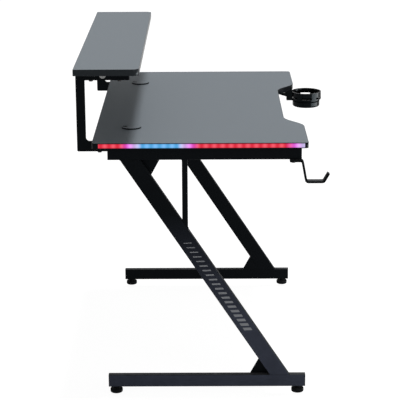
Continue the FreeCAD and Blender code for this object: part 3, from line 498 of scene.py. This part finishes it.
def addPiece(mesh, name, body, material):
    data = bpy.data.meshes.new(name)
    mesh.normal_update()
    mesh.to_mesh(data)
    mesh.free()
    data.shade_smooth()
    data.materials.append(material)
    piece = bpy.data.objects.new(name, data)
    scene.collection.objects.link(piece)
    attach(piece, body)
    return piece


# skin over rings of points, closed at both ends
def loft(mesh, rings):
    made = [[mesh.verts.new(point) for point in ring] for ring in rings]
    for first, second in zip(made, made[1:]):
        for index in range(len(first)):
            after = (index + 1) % len(first)
            mesh.faces.new((first[index], first[after], second[after], second[index]))
    mesh.faces.new(list(reversed(made[0])))
    mesh.faces.new(made[-1])


def turnsOf(spokes):
    return [2 * math.pi * spoke / spokes for spoke in range(spokes)]


# weld beads where the tubes of each leg meet; rows are (y, z) of corner lines that run across the tube
beads = {"radius": 0.0017, "ripple": 0.00035, "pitch": 0.0016, "rowShift": 0.3,
         "wander": 0.0002, "wanderRate": 900, "endSize": 0.35, "endGain": 6,
         "from": 0.4650, "to": 0.4810, "steps": 60, "spokes": 12,
         "rows": [(0.1902, 0.698), (0.2464, 0.698), (-0.2319, 0.054), (-0.1757, 0.054),
                  (0.05775, 0.698), (0.07375, 0.698), (0.05775, 0.4960), (0.07375, 0.5203)]}


def makeBeads(name, side, use):
    mesh = bmesh.new()
    for row, (y, z) in enumerate(use["rows"]):
        rings = []
        for step in range(use["steps"] + 1):
            share = step / use["steps"]
            x = use["from"] + (use["to"] - use["from"]) * share
            swell = math.sin(math.pi * ((x / use["pitch"] + use["rowShift"] * row) % 1.0))
            ends = min(1.0, use["endSize"] + use["endGain"] * min(share, 1 - share))
            radius = (use["radius"] - use["ripple"] + use["ripple"] * swell) * ends
            middle = y + use["wander"] * math.sin(x * use["wanderRate"] + row)
            rings.append([(side * x, middle + radius * math.cos(turn), z + side * radius * math.sin(turn))
                          for turn in turnsOf(use["spokes"])])
        loft(mesh, rings)
    addPiece(mesh, name, "desk", powderBlack)


makeBeads("weld_beads_left", -1, beads)
makeBeads("weld_beads_right", 1, beads)


# studs of the levelling feet, with their thread
thread = {"crest": 0.0040, "root": 0.00345, "pitch": 0.00125, "spokes": 24, "perTurn": 8,
          "lead": 0.0012, "leadSize": 0.55, "flankGain": 1.6, "flankCut": 0.2}


def makeStud(node, body, use):
    low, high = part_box(node)
    x, y = (low.x + high.x) / 2, (low.y + high.y) / 2
    count = int((high.z - low.z) / use["pitch"] * use["perTurn"])
    mesh = bmesh.new()
    rings = []
    for step in range(count + 1):
        z = low.z + (high.z - low.z) * step / count
        tip = min(1.0, use["leadSize"] + (1 - use["leadSize"]) * (high.z - z) / use["lead"])
        ring = []
        for spoke, turn in enumerate(turnsOf(use["spokes"])):
            phase = (z / use["pitch"] - spoke / use["spokes"]) % 1.0
            ridge = min(1.0, max(0.0, use["flankGain"] * (1 - abs(2 * phase - 1)) - use["flankCut"]))
            radius = use["root"] + (use["crest"] - use["root"]) * ridge * tip
            ring.append((x + radius * math.cos(turn), y + radius * math.sin(turn), z))
        rings.append(ring)
    loft(mesh, rings)
    stud = addPiece(mesh, node.replace("stud", "thread"), body, bpy.data.materials["zincPlate"])
    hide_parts(node)


for corner in corners:
    makeStud("leveller_stud_" + corner, "leveller_" + corner, thread)
print("pieces made")


# camera at the photograph's place
shot = {"lens": 135.506, "sensor": 36.0, "reach": 200.0, "place": (-4.528966, 0.003794, 1.758209),
        "right": (0.00338, -0.99998, -0.005195), "up": (0.279196, -0.004045, 0.96024)}


def makeCamera(use):
    data = bpy.data.cameras.new("shotCamera")
    data.sensor_width = use["sensor"]
    data.lens = use["lens"]
    data.clip_end = use["reach"]
    camera = bpy.data.objects.new("shotCamera", data)
    scene.collection.objects.link(camera)
    right = Vector(use["right"]).normalized()
    up = Vector(use["up"])
    up = (up - right * up.dot(right)).normalized()
    back = right.cross(up)
    turn = Matrix((right, up, back)).transposed()
    camera.matrix_world = Matrix.Translation(use["place"]) @ turn.to_4x4()
    scene.camera = camera


makeCamera(shot)


# studio: pale floor that shows white, one soft key overhead, weak fills
studio = {"floorSize": 60.0, "floorDrop": 0.0105, "floorColour": (0.80, 0.80, 0.80), "floorShare": 0.30,
          "floorGlow": 0.93, "white": (1.0, 1.0, 1.0), "ambient": 0.20, "backdrop": 1.0,
          "lamps": {"keyLamp": {"place": (0.60, -1.51, 14.75), "aim": (-0.05, 0.0, 0.75),
                                "size": (2.62, 2.62), "power": 1195.0},
                    "sideLamp": {"place": (-3.4, -1.6, 2.4), "aim": (-0.3, 0.0, 0.5),
                                 "size": (1.6, 1.6), "power": 10.0},
                    "frontLamp": {"place": (-0.18, -1.86, 0.33), "aim": (0.29, -0.32, 0.70),
                                  "size": (2.1, 0.26), "power": 26.0}}}


# 1 for what the camera, gloss and glass see, 0 for what lights the object
def seenShare(f):
    path = f.add("ShaderNodeLightPath")
    return path["Is Camera Ray"].most(path["Is Glossy Ray"]).most(path["Is Transmission Ray"])


def makeFloor(use):
    half = use["floorSize"] / 2
    mesh = bpy.data.meshes.new("studioFloor")
    ends = [(-half, -half, 0), (half, -half, 0), (half, half, 0), (-half, half, 0)]
    mesh.from_pydata(ends, [], [(0, 1, 2, 3)])
    floor = bpy.data.objects.new("studioFloor", mesh)
    floor.location.z = -use["floorDrop"]  # the feet reach down 10 mm
    scene.collection.objects.link(floor)
    f = newFinish("studioFloor")
    cloth = f.add("ShaderNodeBsdfDiffuse", None, {"Color": rgba(use["floorColour"])})["BSDF"]
    dim = tuple(c * use["floorShare"] for c in use["floorColour"])
    shaded = f.add("ShaderNodeBsdfDiffuse", None, {"Color": rgba(dim)})["BSDF"]
    glow = {"Color": rgba(use["white"]), "Strength": use["floorGlow"]}
    white = f.add("ShaderNodeEmission", None, glow)["Emission"]
    shown = f.add("ShaderNodeAddShader", None, {0: shaded, 1: white})["Shader"]
    f.surface(f.add("ShaderNodeMixShader", None, {"Fac": seenShare(f), 1: cloth, 2: shown})["Shader"])
    mesh.materials.append(f.material)


def makeWorld(use):
    world = bpy.data.worlds.new("studioWorld")
    scene.world = world
    f = Finish(world)
    white = rgba(use["white"])
    soft = f.add("ShaderNodeBackground", None, {"Color": white, "Strength": use["ambient"]})["Background"]
    plain = f.add("ShaderNodeBackground", None, {"Color": white, "Strength": use["backdrop"]})["Background"]
    f.surface(f.add("ShaderNodeMixShader", None, {"Fac": seenShare(f), 1: soft, 2: plain})["Shader"])


def makeLamp(name, use):
    data = bpy.data.lights.new(name, "AREA")
    data.shape = "ELLIPSE"
    data.size, data.size_y = use["size"]
    data.energy = use["power"]
    lamp = bpy.data.objects.new(name, data)
    lamp.location = use["place"]
    lamp.visible_camera = False
    lamp.rotation_mode = "QUATERNION"
    lamp.rotation_quaternion = (Vector(use["aim"]) - Vector(use["place"])).to_track_quat("-Z", "Y")
    scene.collection.objects.link(lamp)


makeFloor(studio)
makeWorld(studio)
for name, use in studio["lamps"].items():
    makeLamp(name, use)
scene.view_settings.view_transform = "Standard"
print("camera and studio made")
